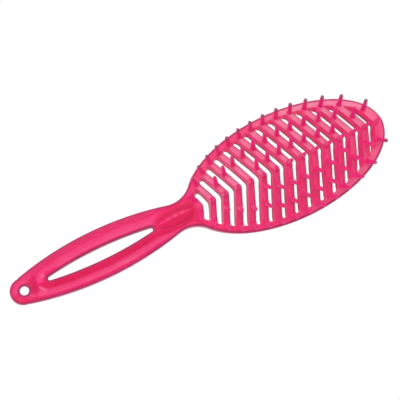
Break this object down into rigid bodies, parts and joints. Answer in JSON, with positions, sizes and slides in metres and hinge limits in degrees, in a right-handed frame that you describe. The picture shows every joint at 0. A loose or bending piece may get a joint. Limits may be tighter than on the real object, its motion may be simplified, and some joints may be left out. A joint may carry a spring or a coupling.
{
  "type": "vent hair brush",
  "caption": "Moulded vent brush: a loop handle with a finger opening and a hang hole, and a domed oval head of chevron ribs that carry tapered pins.",
  "frame": {"origin": "middle of the brush's outline, on the flat back that it rests on", "axes": "+X along the brush from the hang hole to the head's tip, +Y across it, +Z out of the back through the pins"},
  "size_m": [0.235, 0.063, 0.0178],
  "materials": {
    "body": "glossy, slightly see-through pink moulded plastic",
    "ribs": "glossy, slightly see-through pink moulded plastic"
  },
  "bodies": {
    "root": {"handle": "body", "thumb_rest": "body", "head_rim": "body", "rib_01": "ribs", "rib_02": "ribs", "rib_03": "ribs", "rib_04": "ribs", "rib_05": "ribs", "rib_06": "ribs", "rib_07": "ribs", "rib_08": "ribs", "rib_09": "ribs", "rib_10": "ribs", "rib_11": "ribs", "rib_12": "ribs", "rib_13": "ribs"}
  },
  "joints": []
}
